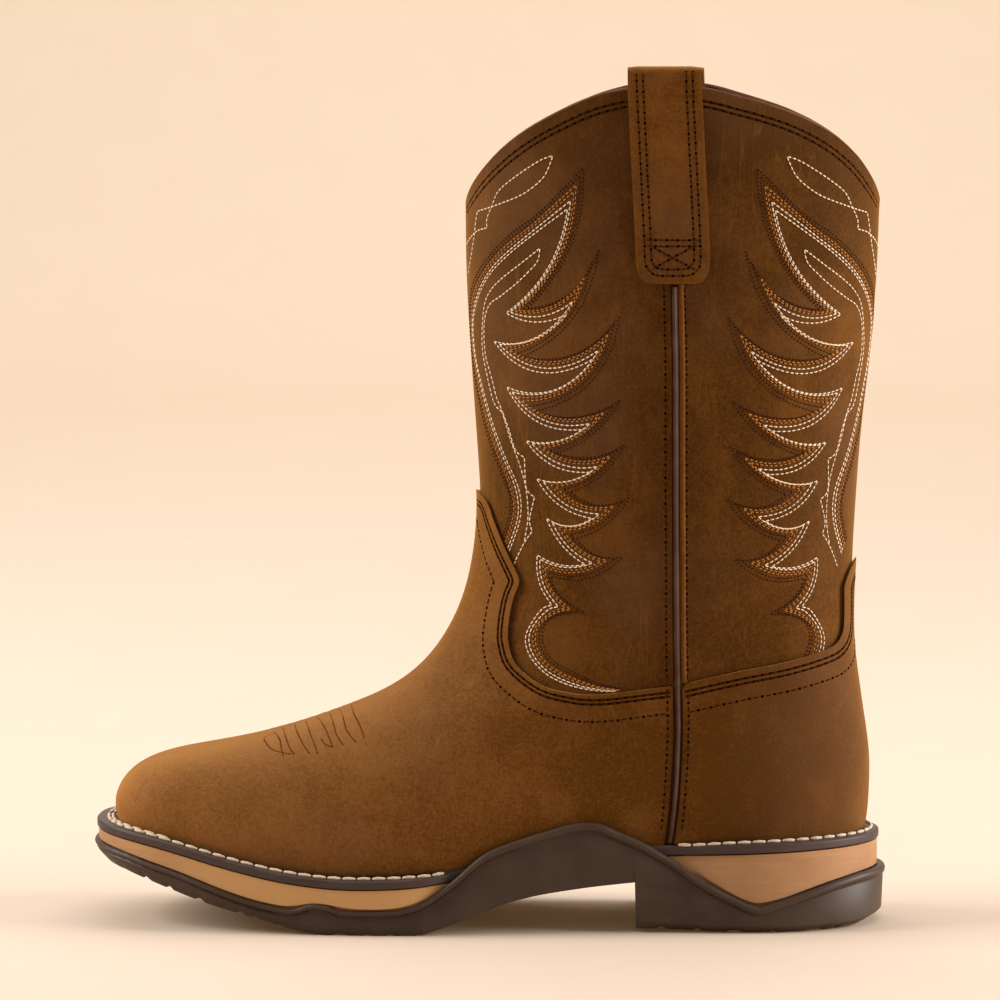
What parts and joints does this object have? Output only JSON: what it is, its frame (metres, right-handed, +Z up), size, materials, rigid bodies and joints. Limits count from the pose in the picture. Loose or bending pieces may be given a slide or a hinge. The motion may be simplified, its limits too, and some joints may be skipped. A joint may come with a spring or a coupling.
{
  "type": "waterproof boot",
  "caption": "Pull-on western work boot for a left foot: leather shaft with scalloped collar, vamp and counter overlays, side piping, pull straps, stitched welt and a heeled lug sole.",
  "frame": {"origin": "on the floor, under the middle of the heel", "axes": "+Z up, toe towards -X, outer side of the foot towards -Y"},
  "size_m": [0.2898, 0.1048, 0.3097],
  "materials": {
    "upper_leather": "oiled nubuck, mottled brown",
    "piping_leather": "smooth dark brown",
    "insole_cloth": "woven, dark",
    "welt_rubber": "satin, dark brown",
    "tan_rubber": "matte tan with faint mould lines",
    "sole_rubber": "matte dark brown with glossier rim"
  },
  "bodies": {
    "root": {"upper": "upper_leather", "vamp": "upper_leather", "counter": "upper_leather", "side_piping_outer": "piping_leather", "side_piping_inner": "piping_leather", "pull_strap_outer": "upper_leather", "pull_strap_inner": "upper_leather", "insole": "insole_cloth", "welt": "welt_rubber", "midsole": "tan_rubber", "outsole": "sole_rubber"}
  },
  "joints": []
}
